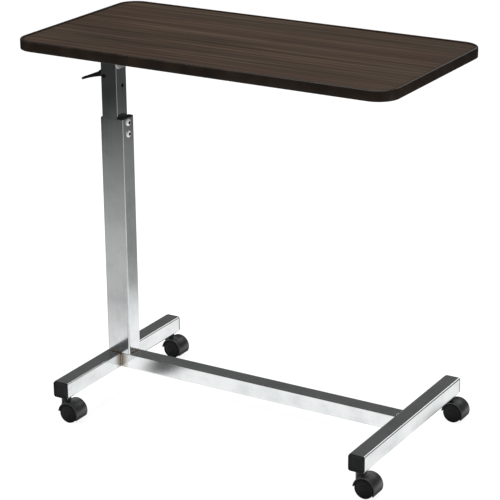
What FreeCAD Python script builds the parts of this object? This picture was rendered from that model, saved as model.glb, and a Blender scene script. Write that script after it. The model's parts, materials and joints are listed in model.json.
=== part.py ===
"""Overbed table: H-shaped base on casters, telescopic column with a locking gas spring, lipped tabletop.

Millimetres, +Z up. The origin is on the floor under the middle of the tabletop. The column stands
at the -X end, the tabletop reaches out to +X, and "front" is the -Y side.
"""
import FreeCAD, Part
import math
import os

from FreeCAD import Vector

# Tabletop
TOP_LENGTH = 762.0
TOP_WIDTH = 381.0
TOP_CORNER_RADIUS = 40.0
BOARD_THICKNESS = 15.9
LAMINATE_THICKNESS = 0.8
BACKER_THICKNESS = 0.6
LIP_HEIGHT = 2.1              # lip above the laminate
MOULDING_WIDTH = 6.0          # moulding outside the board's edge
MOULDING_EDGE_RADIUS = 1.6
BARB_THICKNESS = 2.0
BARB_DEPTH = 9.0
KERF_CLEARANCE = 0.2

# Base
BAR_SIZE = 31.75
BAR_WALL = 1.5
BAR_CORNER_RADIUS = 3.0
BAR_LENGTH = 390.4            # cross bars without their end plugs
COLUMN_BAR_INSET = 81.2       # tabletop's end to the nearer cross bar's centre line
FREE_BAR_INSET = 47.5         # the same at the free end
WELD_LEG = 3.5
PLUG_FLANGE = 2.8
PLUG_CORNER_RADIUS = 4.5
PLUG_SPIGOT_DEPTH = 5.0
PLUG_WALL = 2.0
PLUG_FIT = 0.2
PLUG_SKIRT_RADIUS = 2.5
PLUG_DISH_R = 300.0
PLUG_DISH_DEPTH = 0.5

# Outer column, standing on the cross bar and the start of the spine
OUTER_WALL = 1.2
OUTER_HEIGHT = 477.0
OUTER_SETBACK = 3.6           # cross bar's outer face to the column's outer face

# Inner column and its glides
INNER_SIZE = 34.9
INNER_WALL = 1.2
INNER_CORNER_RADIUS = 2.4
EXPOSED_AT_REST = 159.25      # outer column's rim to the tabletop's underside
REST_LIFT = 26.0              # how far the column is drawn above its lowest position
OVERLAP_AT_TOP = 80.0         # inner column left in the outer one at full height
FOOT_GAP = 11.0               # base to the glide, column at its lowest
GLIDE_GAP = 0.3
COLUMN_SIDE_GAP = 0.4         # between the two columns, front and back
PAD_THICKNESS = 1.7
GUIDE_THICKNESS = 11.2        # guide block between the two columns
GUIDE_DEPTH = 45.0
GUIDE_RISE = 1.8              # guide block above the outer column's rim
GLIDE_PLATE = 5.0
GLIDE_BLOCK_HEIGHT = 30.0
GLIDE_SPIGOT = 10.0

# Guide screws in the outer column
GUIDE_SCREW_DEPTHS = (8.5, 31.0)
GUIDE_SCREW_R = 2.5
GUIDE_HEAD_R = 7.0
GUIDE_HEAD_RISE = 4.0
GUIDE_RECESS_R = 2.4
GUIDE_SCREW_LENGTH = 7.0

# Gas spring
CYLINDER_CLEARANCE = 2.25     # inner column's bore to the cylinder
CYLINDER_WALL = 1.5
CYLINDER_FOOT = 18.0          # bar's top to the cylinder's bottom
CYLINDER_END = 16.0
CYLINDER_SPARE = 17.0         # gland to the piston, column at its highest
GLAND_LENGTH = 18.0
ROD_R = 5.0
ROD_CLEARANCE = 0.06
PISTON_LENGTH = 14.0
PISTON_CLEARANCE = 0.1
PISTON_END_GAP = 10.0         # cylinder's end to the piston, column at its lowest
STUD_R = 5.0
STUD_ENGAGEMENT = 12.0
NUT_ACROSS_FLATS = 17.0
NUT_HEIGHT = 8.0
NUT_LIFT = 5.0

# Release lever and pin
PIVOT_DEPTH = 79.0            # tabletop's underside to the lever's pivot
PIVOT_ARM = 10.0              # pivot to the release pin's axis
PIVOT_R = 2.5
PIVOT_CLEARANCE = 0.05
PIVOT_HEAD_R = 4.2
PIVOT_HEAD_RISE = 1.2
HUB_R = 5.5
HUB_SIDE_GAP = 0.75           # hub's end to the inner column's wall
LEVER_PLATE = 4.0
NOSE_R = 3.0
GRIP_REACH = 60.0             # pivot to the tip of the grip
GRIP_TIP_DROP = 13.8
GRIP_WIDTH = 12.0
GRIP_ROOT_ABOVE = 10.5
GRIP_ROOT_BELOW = 3.2
GRIP_TIP_THICKNESS = 5.0
GRIP_HOLLOW = 1.6             # how far the grip's lower edge curves up
CORE_REACH = 46.0
CORE_HEIGHT = 1.5             # half the core plate's height at the pivot
SLOT_HALF_WIDTH = 7.0
SLOT_ABOVE = 13.0
SLOT_BELOW = 11.0
PIN_R = 2.0
PIN_CLEARANCE = 0.05
PIN_LENGTH = 34.0
PIN_GAP = 0.3
PIN_TRAVEL_ROOM = 5.0

# Head block that joins the rod to the inner column
PIN_STANDOUT = 5.7            # release pin above the block's top
HEAD_HEIGHT = 22.0
HEAD_HOLE_DROP = 10.0         # block's top to the access hole
ROD_SET_DOWN = 4.0            # block's top to the rod's end
HEAD_HOLE_SIDE = 3.5          # access hole and screw, off the middle towards the back
HEAD_HOLE_R = 4.0
HEAD_SCREW_R = 3.0
HEAD_SCREW_RECESS = 2.5

# Bracket and rails under the tabletop
BRACKET_PLATE = 2.5
BRACKET_CHEEK_DEPTH = 48.0
BRACKET_WEB_DEPTH = 63.0
BRACKET_OVERHANG = 7.0        # cheeks past the inner column's outer face
BRACKET_CORNER = 9.0
BRACKET_TAPER = 14.0          # length of the cheeks' slanted lower corner
RAIL_LEG = 25.0
RAIL_THICKNESS = 2.5
RAIL_FREE_INSET = 147.4       # tabletop's free end to the rails
RAIL_START = 35.0             # rail's end to the inner column's centre line
RAIL_SCREW_COUNT = 5
RAIL_SCREW_MARGIN = 25.0
RAIL_SCREW_R = 2.0
RAIL_SCREW_HEAD_R = 4.0
RAIL_SCREW_HEAD_LOW_R = 2.8
RAIL_SCREW_HEAD = 2.4
RAIL_SCREW_BITE = 10.0

# Twin-wheel casters
WHEEL_R = 19.05
WHEEL_WIDTH = 12.0
WHEEL_EDGE = 2.0
WHEEL_FACE_R = 16.8
WHEEL_FACE_RECESS = 0.7
WHEEL_WEB = 2.2
WHEEL_RIM = 3.6
WHEEL_HUB_R = 6.0
AXLE_R = 2.5
AXLE_CLEARANCE = 0.05
AXLE_END_GAP = 0.5
BORE_COVER = 2.0              # wheel's outer side to the end of its bore
CASTER_WEB = 8.0
WHEEL_SIDE_GAP = 1.0
HOOD_GAP = 1.2
HOOD_WALL = 1.8
HOOD_SIDE = 0.5               # hood past the wheels' outer faces
HOOD_HEADROOM = 7.5           # hood's top to the underside of the bars
HOOD_HUB_R = 5.0
HOOD_BELOW_REAR = 35.0        # degrees below the axle, on the trailing side
HOOD_BELOW_STEM = 4.0         # degrees below the axle, on the stem's side
CASTER_TRAIL = 15.2
CASTER_INSET = 16.5           # bar's end, plug included, to the stem
NECK_WALL = 2.2
NECK_FLARE = 3.0
NECK_FLARE_HEIGHT = 6.0
NECK_STRAIGHT = 3.0
NECK_GAP = 0.3
STEM_R = 4.0
STEM_CLEARANCE = 0.05
STEM_EMBED = 14.0
STEM_END_GAP = 1.3            # stem's top to the socket's top
SOCKET_WALL = 2.0
SOCKET_HEADROOM = 1.25        # socket's top to the bar's upper wall

# Overcut past a face, so that a hole goes right through it
OVERCUT = 1.0

# Places that follow from the sizes above
CASTER_HEIGHT = 2 * WHEEL_R + HOOD_GAP + HOOD_WALL + HOOD_HEADROOM
BAR_TOP = CASTER_HEIGHT + BAR_SIZE
BAR_HALF = BAR_SIZE / 2
COLUMN_BAR_X = COLUMN_BAR_INSET - TOP_LENGTH / 2
FREE_BAR_X = TOP_LENGTH / 2 - FREE_BAR_INSET
OUTER_SIZE_X = INNER_SIZE + PAD_THICKNESS + 2 * GLIDE_GAP + GUIDE_THICKNESS + 2 * OUTER_WALL
OUTER_SIZE_Y = INNER_SIZE + 2 * (COLUMN_SIDE_GAP + OUTER_WALL)
OUTER_X0 = COLUMN_BAR_X - BAR_HALF + OUTER_SETBACK
OUTER_X1 = OUTER_X0 + OUTER_SIZE_X
OUTER_TOP = BAR_TOP + OUTER_HEIGHT
BORE_X0 = OUTER_X0 + OUTER_WALL
BORE_X1 = OUTER_X1 - OUTER_WALL
BORE_HALF_Y = OUTER_SIZE_Y / 2 - OUTER_WALL
INNER_X0 = BORE_X0 + PAD_THICKNESS + GLIDE_GAP
INNER_X1 = INNER_X0 + INNER_SIZE
MAST_X = (INNER_X0 + INNER_X1) / 2
INNER_HALF = INNER_SIZE / 2
INNER_BORE = INNER_SIZE - 2 * INNER_WALL
INNER_BOTTOM = BAR_TOP + FOOT_GAP + GLIDE_PLATE + REST_LIFT
STROKE = OUTER_HEIGHT - OVERLAP_AT_TOP - GLIDE_PLATE - FOOT_GAP
TOP_STACK = BACKER_THICKNESS + BOARD_THICKNESS + LAMINATE_THICKNESS + LIP_HEIGHT
UNDERSIDE = OUTER_TOP + EXPOSED_AT_REST
BOARD_BOTTOM = UNDERSIDE + BACKER_THICKNESS
LAMINATE_BOTTOM = BOARD_BOTTOM + BOARD_THICKNESS
BOARD_LENGTH = TOP_LENGTH - 2 * MOULDING_WIDTH
BOARD_WIDTH = TOP_WIDTH - 2 * MOULDING_WIDTH
BOARD_CORNER_RADIUS = TOP_CORNER_RADIUS - MOULDING_WIDTH
KERF_HEIGHT = BARB_THICKNESS + 2 * KERF_CLEARANCE
BARB_MIDDLE = BACKER_THICKNESS + BOARD_THICKNESS / 2
PIVOT_X = MAST_X - PIVOT_ARM
PIVOT_Z = UNDERSIDE - PIVOT_DEPTH
PIN_TOP = PIVOT_Z - NOSE_R - PIN_GAP
HEAD_TOP = PIN_TOP - PIN_STANDOUT
HEAD_HOLE_Z = HEAD_TOP - HEAD_HOLE_DROP
HEAD_BOTTOM = HEAD_TOP - HEAD_HEIGHT
ROD_TOP = HEAD_TOP - ROD_SET_DOWN
CYLINDER_R = INNER_BORE / 2 - CYLINDER_CLEARANCE
HUB_HALF_LENGTH = INNER_BORE / 2 - HUB_SIDE_GAP
RAIL_X0 = MAST_X - RAIL_START
RAIL_X1 = TOP_LENGTH / 2 - RAIL_FREE_INSET
CYLINDER_BOTTOM = BAR_TOP + CYLINDER_FOOT
PISTON_BOTTOM = CYLINDER_BOTTOM + CYLINDER_END + PISTON_END_GAP + REST_LIFT
CYLINDER_TOP = PISTON_BOTTOM - REST_LIFT + STROKE + PISTON_LENGTH + CYLINDER_SPARE + GLAND_LENGTH
CHEEK_OUT = INNER_HALF + BRACKET_PLATE
HALF_CASTER = CASTER_WEB / 2 + WHEEL_SIDE_GAP + WHEEL_WIDTH
PLUG_END = BAR_LENGTH / 2 + PLUG_FLANGE
STEM_Y = PLUG_END - CASTER_INSET
BORE_END = HALF_CASTER - BORE_COVER
AXLE_HALF_LENGTH = BORE_END - AXLE_END_GAP
NECK_R = STEM_R + NECK_WALL
SOCKET_R = STEM_R + SOCKET_WALL
SOCKET_HEIGHT = BAR_SIZE - BAR_WALL - SOCKET_HEADROOM

X_AXIS = Vector(1, 0, 0)
Y_AXIS = Vector(0, 1, 0)
Z_AXIS = Vector(0, 0, 1)
ORIGIN = Vector(0, 0, 0)


def box(x0, x1, y0, y1, z0, z1):
    return Part.makeBox(x1 - x0, y1 - y0, z1 - z0, Vector(x0, y0, z0))


def rod_z(radius, x, y, z0, z1):
    return Part.makeCylinder(radius, z1 - z0, Vector(x, y, z0), Z_AXIS)


def rod_y(radius, x, y0, y1, z):
    return Part.makeCylinder(radius, y1 - y0, Vector(x, y0, z), Y_AXIS)


def rod_x(radius, x0, x1, y, z):
    return Part.makeCylinder(radius, x1 - x0, Vector(x0, y, z), X_AXIS)


def face_of(points):
    """Flat face with straight sides through the points."""
    return Part.Face(Part.makePolygon(points + points[:1]))


def rounded_block(size_x, size_y, radius, z0, z1, x=0.0, y=0.0):
    """Upright block with a rounded rectangle as its plan, centred on x, y."""
    hx = size_x / 2
    hy = size_y / 2
    edges = []
    for turn in range(4):
        a, b = (hx, hy) if turn % 2 == 0 else (hy, hx)
        k = radius * (1 - math.sqrt(0.5))
        points = [Vector(a, radius - b, 0), Vector(a, b - radius, 0),
                  Vector(a - k, b - k, 0), Vector(a - radius, b, 0)]
        spin = FreeCAD.Rotation(Z_AXIS, 90 * turn)
        points = [spin.multVec(p) for p in points]
        edges.append(Part.LineSegment(points[0], points[1]).toShape())
        edges.append(Part.Arc(points[1], points[2], points[3]).toShape())
    plan = Part.Face(Part.Wire(edges))
    plan.translate(Vector(x, y, z0))
    return plan.extrude(Vector(0, 0, z1 - z0))


def rounded_tube(size_x, size_y, wall, radius, z0, z1, x=0.0, y=0.0):
    outside = rounded_block(size_x, size_y, radius, z0, z1, x, y)
    bore = rounded_block(size_x - 2 * wall, size_y - 2 * wall, radius - wall, z0, z1, x, y)
    return outside.cut(bore)


def round_the_top(section, length, width, radius):
    """Carries a section of (outwards, height) points round a rounded rectangle."""
    pieces = []
    for turn in range(4):
        along, across = (length, width) if turn % 2 == 0 else (width, length)
        start = radius - across / 2
        face = face_of([Vector(along / 2 + out, start, up) for out, up in section])
        side = face.extrude(Vector(0, -2 * start, 0))
        face.translate(Vector(0, -2 * start, 0))
        corner = face.revolve(Vector(along / 2 - radius, -start, 0), Z_AXIS, 90)
        for piece in (side, corner):
            piece.rotate(ORIGIN, Z_AXIS, 90 * turn)
            pieces.append(piece)
    return pieces[0].multiFuse(pieces[1:]).removeSplitter()


# Base

def bar_with_sockets(x):
    """Cross bar along Y, with a hole under each end for a caster's socket."""
    bar = rounded_tube(BAR_SIZE, BAR_SIZE, BAR_WALL, BAR_CORNER_RADIUS, -BAR_LENGTH / 2, BAR_LENGTH / 2)
    bar.rotate(ORIGIN, X_AXIS, 90)
    bar.translate(Vector(x, 0, CASTER_HEIGHT + BAR_HALF))
    for y in (-STEM_Y, STEM_Y):
        bar = bar.cut(rod_z(SOCKET_R, x, y, CASTER_HEIGHT - OVERCUT, CASTER_HEIGHT + 2 * BAR_WALL))
    return bar


def spine():
    x0 = COLUMN_BAR_X + BAR_HALF
    x1 = FREE_BAR_X - BAR_HALF
    bar = rounded_tube(BAR_SIZE, BAR_SIZE, BAR_WALL, BAR_CORNER_RADIUS, x0, x1)
    bar.rotate(ORIGIN, Y_AXIS, 90)
    bar.translate(Vector(0, 0, CASTER_HEIGHT + BAR_HALF))
    return bar


def base_welds():
    """Fillet welds: the spine to both cross bars, and the column's foot to the bars under it."""
    beads = []
    flat = BAR_HALF - BAR_CORNER_RADIUS
    middle = CASTER_HEIGHT + BAR_HALF
    for side in (-1, 1):
        y = side * BAR_HALF
        for x, inwards in ((COLUMN_BAR_X + BAR_HALF, 1), (FREE_BAR_X - BAR_HALF, -1)):
            corner = face_of([Vector(x, y, middle - flat), Vector(x + inwards * WELD_LEG, y, middle - flat),
                              Vector(x, y + side * WELD_LEG, middle - flat)])
            beads.append(corner.extrude(Vector(0, 0, 2 * flat)))
        y = side * OUTER_SIZE_Y / 2
        foot = face_of([Vector(COLUMN_BAR_X - flat + OUTER_SETBACK, y, BAR_TOP),
                        Vector(COLUMN_BAR_X - flat + OUTER_SETBACK, y + side * WELD_LEG, BAR_TOP),
                        Vector(COLUMN_BAR_X - flat + OUTER_SETBACK, y, BAR_TOP + WELD_LEG)])
        beads.append(foot.extrude(Vector(2 * flat - OUTER_SETBACK, 0, 0)))
    toe = face_of([Vector(OUTER_X1, -flat, BAR_TOP), Vector(OUTER_X1 + WELD_LEG, -flat, BAR_TOP),
                   Vector(OUTER_X1, -flat, BAR_TOP + WELD_LEG)])
    beads.append(toe.extrude(Vector(0, 2 * flat, 0)))
    return Part.makeCompound(beads)


def end_plug(x, side):
    """Plastic plug in a cross bar's end; side is -1 at the front and 1 at the back."""
    spigot = BAR_SIZE - 2 * BAR_WALL - 2 * PLUG_FIT
    flange = rounded_block(BAR_SIZE, BAR_SIZE, PLUG_CORNER_RADIUS, 0, PLUG_FLANGE)
    skirt = rounded_tube(spigot, spigot, PLUG_WALL, PLUG_SKIRT_RADIUS, -PLUG_SPIGOT_DEPTH, 0)
    dish = Part.makeSphere(PLUG_DISH_R, Vector(0, 0, PLUG_FLANGE - PLUG_DISH_DEPTH + PLUG_DISH_R))
    plug = flange.cut(dish).fuse(skirt)
    plug.rotate(ORIGIN, X_AXIS, -90 * side)
    plug.translate(Vector(x, side * BAR_LENGTH / 2, CASTER_HEIGHT + BAR_HALF))
    return plug


def stem_sockets():
    sockets = []
    for x in (COLUMN_BAR_X, FREE_BAR_X):
        for y in (-STEM_Y, STEM_Y):
            socket = rod_z(SOCKET_R, x, y, CASTER_HEIGHT, CASTER_HEIGHT + SOCKET_HEIGHT)
            bore = rod_z(STEM_R + STEM_CLEARANCE, x, y, CASTER_HEIGHT, CASTER_HEIGHT + SOCKET_HEIGHT)
            sockets.append(socket.cut(bore))
    return Part.makeCompound(sockets)


# Outer column and its guides

def outer_column():
    tube = rounded_tube(OUTER_SIZE_X, OUTER_SIZE_Y, OUTER_WALL, BAR_CORNER_RADIUS,
                        BAR_TOP, OUTER_TOP, (OUTER_X0 + OUTER_X1) / 2)
    for depth in GUIDE_SCREW_DEPTHS:
        tube = tube.cut(rod_x(GUIDE_SCREW_R, BORE_X1 - OVERCUT, OUTER_X1 + OVERCUT, 0, OUTER_TOP - depth))
    return tube


def guide_block():
    """Thick plastic guide between the two columns on the +X side, with a lip over the rim."""
    x0 = INNER_X1 + GLIDE_GAP
    half_y = BORE_HALF_Y - GLIDE_GAP
    bottom = OUTER_TOP - GUIDE_DEPTH
    top = OUTER_TOP + GUIDE_RISE
    middle = (OUTER_X0 + OUTER_X1) / 2
    plug = rounded_block(OUTER_SIZE_X - 2 * OUTER_WALL, 2 * half_y, BAR_CORNER_RADIUS - OUTER_WALL,
                         bottom, OUTER_TOP, middle)
    lip = rounded_block(OUTER_SIZE_X, OUTER_SIZE_Y, BAR_CORNER_RADIUS, OUTER_TOP, top, middle)
    block = plug.fuse(lip).common(box(x0, OUTER_X1, -OUTER_SIZE_Y, OUTER_SIZE_Y, bottom, top))
    for depth in GUIDE_SCREW_DEPTHS:
        block = block.cut(rod_x(GUIDE_SCREW_R, OUTER_X1 - OUTER_WALL - GUIDE_SCREW_LENGTH, OUTER_X1,
                                0, OUTER_TOP - depth))
    return block.removeSplitter()


def guide_pad():
    half_y = INNER_HALF - INNER_CORNER_RADIUS
    return box(BORE_X0, BORE_X0 + PAD_THICKNESS, -half_y, half_y, OUTER_TOP - GUIDE_DEPTH, OUTER_TOP)


def guide_screw(z):
    """Screw with a domed head and a round recess, turned about its own axis."""
    tip = OUTER_X1 - OUTER_WALL - GUIDE_SCREW_LENGTH
    ball_r = (GUIDE_HEAD_R ** 2 + GUIDE_HEAD_RISE ** 2) / (2 * GUIDE_HEAD_RISE)

    def dome(radius):
        rise = GUIDE_HEAD_RISE - ball_r + math.sqrt(ball_r ** 2 - radius ** 2)
        return Vector(OUTER_X1 + rise, radius, z)

    recess_floor = OUTER_X1 + GUIDE_HEAD_RISE / 2
    corners = [dome(GUIDE_RECESS_R), Vector(recess_floor, GUIDE_RECESS_R, z), Vector(recess_floor, 0, z),
               Vector(tip, 0, z), Vector(tip, GUIDE_SCREW_R, z), Vector(OUTER_X1, GUIDE_SCREW_R, z),
               dome(GUIDE_HEAD_R)]
    edges = [Part.LineSegment(a, b).toShape() for a, b in zip(corners, corners[1:])]
    middle = dome((GUIDE_RECESS_R + GUIDE_HEAD_R) / 2)
    edges.append(Part.Arc(corners[-1], middle, corners[0]).toShape())
    return Part.Face(Part.Wire(edges)).revolve(Vector(OUTER_X1, 0, z), X_AXIS, 360)


def guide_screws():
    return Part.makeCompound([guide_screw(OUTER_TOP - depth) for depth in GUIDE_SCREW_DEPTHS])


# Gas spring

def foot_stud():
    return rod_z(STUD_R, MAST_X, 0, BAR_TOP, CYLINDER_BOTTOM + STUD_ENGAGEMENT)


def foot_nut():
    across_corners_r = NUT_ACROSS_FLATS / math.sqrt(3)
    corners = []
    for i in range(6):
        turn = math.radians(60 * i)
        corners.append(Vector(MAST_X + across_corners_r * math.cos(turn),
                              across_corners_r * math.sin(turn), BAR_TOP + NUT_LIFT))
    nut = face_of(corners).extrude(Vector(0, 0, NUT_HEIGHT))
    return nut.cut(rod_z(STUD_R, MAST_X, 0, BAR_TOP, CYLINDER_BOTTOM))


def gas_spring_cylinder():
    body = rod_z(CYLINDER_R, MAST_X, 0, CYLINDER_BOTTOM, CYLINDER_TOP)
    bore = rod_z(CYLINDER_R - CYLINDER_WALL, MAST_X, 0, CYLINDER_BOTTOM + CYLINDER_END, CYLINDER_TOP)
    thread = rod_z(STUD_R, MAST_X, 0, CYLINDER_BOTTOM, CYLINDER_BOTTOM + STUD_ENGAGEMENT)
    return body.cut(bore).cut(thread)


def gas_spring_gland():
    gland = rod_z(CYLINDER_R - CYLINDER_WALL, MAST_X, 0, CYLINDER_TOP - GLAND_LENGTH, CYLINDER_TOP)
    return gland.cut(rod_z(ROD_R + ROD_CLEARANCE, MAST_X, 0, CYLINDER_TOP - GLAND_LENGTH, CYLINDER_TOP))


def gas_spring_rod():
    rod = rod_z(ROD_R, MAST_X, 0, PISTON_BOTTOM + PISTON_LENGTH, ROD_TOP)
    tail = rod_z(ROD_R / 2, MAST_X, 0, PISTON_BOTTOM, PISTON_BOTTOM + PISTON_LENGTH)
    pin_bore = rod_z(PIN_R + PIN_CLEARANCE, MAST_X, 0, PIN_TOP - PIN_LENGTH - PIN_TRAVEL_ROOM, ROD_TOP)
    return rod.fuse(tail).cut(pin_bore)


def gas_spring_piston():
    piston_r = CYLINDER_R - CYLINDER_WALL - PISTON_CLEARANCE
    piston = rod_z(piston_r, MAST_X, 0, PISTON_BOTTOM, PISTON_BOTTOM + PISTON_LENGTH)
    return piston.cut(rod_z(ROD_R / 2, MAST_X, 0, PISTON_BOTTOM, PISTON_BOTTOM + PISTON_LENGTH))


def release_pin():
    pin = rod_z(PIN_R, MAST_X, 0, PIN_TOP - PIN_LENGTH, PIN_TOP - PIN_R / 2)
    dome_r = (PIN_R ** 2 + (PIN_R / 2) ** 2) / PIN_R
    dome = Part.makeSphere(dome_r, Vector(MAST_X, 0, PIN_TOP - dome_r))
    return pin.fuse(dome.common(rod_z(PIN_R, MAST_X, 0, PIN_TOP - PIN_R / 2, PIN_TOP)))


# Inner column

def inner_column():
    tube = rounded_tube(INNER_SIZE, INNER_SIZE, INNER_WALL, INNER_CORNER_RADIUS,
                        INNER_BOTTOM, UNDERSIDE, MAST_X)
    slot = box(INNER_X0 - OVERCUT, INNER_X0 + 2 * INNER_WALL, -SLOT_HALF_WIDTH, SLOT_HALF_WIDTH,
               PIVOT_Z - SLOT_BELOW, PIVOT_Z + SLOT_ABOVE)
    pivot_hole = rod_y(PIVOT_R, PIVOT_X, -INNER_SIZE, INNER_SIZE, PIVOT_Z)
    access = rod_x(HEAD_HOLE_R, INNER_X1 - 2 * INNER_WALL, INNER_X1 + OVERCUT,
                   HEAD_HOLE_SIDE, HEAD_HOLE_Z)
    return tube.cut(slot).cut(pivot_hole).cut(access)


def lower_glide():
    """Plastic foot of the inner column: a plate, a spigot in the tube and a block on the +X side."""
    x0 = BORE_X0 + GLIDE_GAP
    x1 = BORE_X1 - GLIDE_GAP
    half_y = BORE_HALF_Y - GLIDE_GAP
    plate = rounded_block(x1 - x0, 2 * half_y, BAR_CORNER_RADIUS - OUTER_WALL,
                          INNER_BOTTOM - GLIDE_PLATE, INNER_BOTTOM, (x0 + x1) / 2)
    block = box(INNER_X1, x1, -half_y + BAR_CORNER_RADIUS, half_y - BAR_CORNER_RADIUS,
                INNER_BOTTOM, INNER_BOTTOM + GLIDE_BLOCK_HEIGHT)
    spigot = rounded_block(INNER_BORE, INNER_BORE, INNER_CORNER_RADIUS - INNER_WALL,
                           INNER_BOTTOM, INNER_BOTTOM + GLIDE_SPIGOT, MAST_X)
    bore = rod_z(CYLINDER_R + 2 * GLIDE_GAP, MAST_X, 0,
                 INNER_BOTTOM - GLIDE_PLATE, INNER_BOTTOM + GLIDE_SPIGOT)
    return plate.fuse([block, spigot]).cut(bore).removeSplitter()


def head_block():
    block = rounded_block(INNER_BORE, INNER_BORE, INNER_CORNER_RADIUS - INNER_WALL,
                          HEAD_BOTTOM, HEAD_TOP, MAST_X)
    rod_seat = rod_z(ROD_R, MAST_X, 0, HEAD_BOTTOM, ROD_TOP)
    pin_way = rod_z(PIN_R + 2 * GLIDE_GAP, MAST_X, 0, ROD_TOP, HEAD_TOP)
    thread = rod_x(HEAD_SCREW_R, MAST_X, INNER_X1, HEAD_HOLE_SIDE, HEAD_HOLE_Z)
    return block.cut(rod_seat).cut(pin_way).cut(thread)


def head_screw():
    """Set screw behind the access hole, tight against the rod."""
    screw = rod_x(HEAD_SCREW_R, MAST_X, INNER_X1 - INNER_WALL - HEAD_SCREW_RECESS,
                  HEAD_HOLE_SIDE, HEAD_HOLE_Z)
    return screw.cut(rod_z(ROD_R, MAST_X, 0, HEAD_HOLE_Z - 2 * HEAD_SCREW_R, HEAD_HOLE_Z + 2 * HEAD_SCREW_R))


# Release lever

def lever_pivot():
    pin = rod_y(PIVOT_R, PIVOT_X, -INNER_HALF, INNER_HALF, PIVOT_Z)
    heads = [rod_y(PIVOT_HEAD_R, PIVOT_X, -INNER_HALF - PIVOT_HEAD_RISE, -INNER_HALF, PIVOT_Z),
             rod_y(PIVOT_HEAD_R, PIVOT_X, INNER_HALF, INNER_HALF + PIVOT_HEAD_RISE, PIVOT_Z)]
    return pin.fuse(heads)


def lever_core_plate():
    """Flat plate from the nose over the release pin to the middle of the grip."""
    half = LEVER_PLATE / 2
    slope = GRIP_TIP_DROP / GRIP_REACH
    end_x = PIVOT_X - CORE_REACH
    end_z = PIVOT_Z - slope * CORE_REACH
    bar = face_of([Vector(PIVOT_X, -half, PIVOT_Z + CORE_HEIGHT),
                   Vector(PIVOT_X, -half, PIVOT_Z - CORE_HEIGHT),
                   Vector(end_x, -half, end_z - CORE_HEIGHT / 2),
                   Vector(end_x, -half, end_z + CORE_HEIGHT / 2)])
    bar = bar.extrude(Vector(0, LEVER_PLATE, 0))
    arm = box(PIVOT_X, MAST_X, -half, half, PIVOT_Z - NOSE_R, PIVOT_Z + NOSE_R)
    nose = rod_y(NOSE_R, MAST_X, -half, half, PIVOT_Z)
    return bar.fuse([arm, nose])


def release_lever():
    hub = rod_y(HUB_R, PIVOT_X, -HUB_HALF_LENGTH, HUB_HALF_LENGTH, PIVOT_Z)
    bore = rod_y(PIVOT_R + PIVOT_CLEARANCE, PIVOT_X, -HUB_HALF_LENGTH, HUB_HALF_LENGTH, PIVOT_Z)
    return lever_core_plate().fuse(hub).cut(bore).removeSplitter()


def lever_grip():
    """Tapered grip that comes out of the column's slot and droops towards its tip."""
    half = GRIP_WIDTH / 2
    root_x = PIVOT_X - HUB_R
    tip_x = PIVOT_X - GRIP_REACH
    tip_z = PIVOT_Z - GRIP_TIP_DROP
    nose_x = tip_x + GRIP_TIP_THICKNESS / 2
    top_root = Vector(root_x, -half, PIVOT_Z + GRIP_ROOT_ABOVE)
    top_tip = Vector(nose_x, -half, tip_z + GRIP_TIP_THICKNESS / 2)
    tip = Vector(tip_x, -half, tip_z)
    low_tip = Vector(nose_x, -half, tip_z - GRIP_TIP_THICKNESS / 2)
    low_root = Vector(root_x, -half, PIVOT_Z - GRIP_ROOT_BELOW)
    low_middle = (low_tip + low_root) * 0.5 + Vector(0, 0, GRIP_HOLLOW)
    edges = [Part.LineSegment(low_root, top_root).toShape(), Part.LineSegment(top_root, top_tip).toShape(),
             Part.Arc(top_tip, tip, low_tip).toShape(), Part.Arc(low_tip, low_middle, low_root).toShape()]
    grip = Part.Face(Part.Wire(edges)).extrude(Vector(0, GRIP_WIDTH, 0))
    return grip.cut(lever_core_plate()).cut(rod_y(HUB_R, PIVOT_X, -GRIP_WIDTH, GRIP_WIDTH, PIVOT_Z))


# Bracket and rails

def mast_bracket():
    """Plate folded round three sides of the inner column's top."""
    x_out = INNER_X0 - BRACKET_OVERHANG
    x_web = INNER_X1 + BRACKET_PLATE
    low = UNDERSIDE - BRACKET_CHEEK_DEPTH
    web_low = UNDERSIDE - BRACKET_WEB_DEPTH
    web_side = web_low + BRACKET_CORNER
    web = face_of([Vector(INNER_X1, -CHEEK_OUT, UNDERSIDE), Vector(INNER_X1, -CHEEK_OUT, web_side),
                   Vector(INNER_X1, -CHEEK_OUT + BRACKET_CORNER, web_low),
                   Vector(INNER_X1, CHEEK_OUT - BRACKET_CORNER, web_low),
                   Vector(INNER_X1, CHEEK_OUT, web_side), Vector(INNER_X1, CHEEK_OUT, UNDERSIDE)])
    pieces = [web.extrude(Vector(BRACKET_PLATE, 0, 0))]
    for y in (-CHEEK_OUT, INNER_HALF):
        cheek = face_of([Vector(x_out, y, UNDERSIDE), Vector(x_out, y, low + BRACKET_OVERHANG),
                         Vector(x_out + BRACKET_TAPER, y, low), Vector(x_web, y, low),
                         Vector(x_web, y, UNDERSIDE)])
        pieces.append(cheek.extrude(Vector(0, BRACKET_PLATE, 0)))
    return pieces[0].fuse(pieces[1:]).removeSplitter()


def rail_screw_places():
    start = RAIL_X0 + RAIL_SCREW_MARGIN
    pitch = (RAIL_X1 - RAIL_SCREW_MARGIN - start) / (RAIL_SCREW_COUNT - 1)
    y = CHEEK_OUT + (RAIL_LEG + RAIL_THICKNESS) / 2
    return [(start + pitch * i, y * side) for side in (-1, 1) for i in range(RAIL_SCREW_COUNT)]


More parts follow.
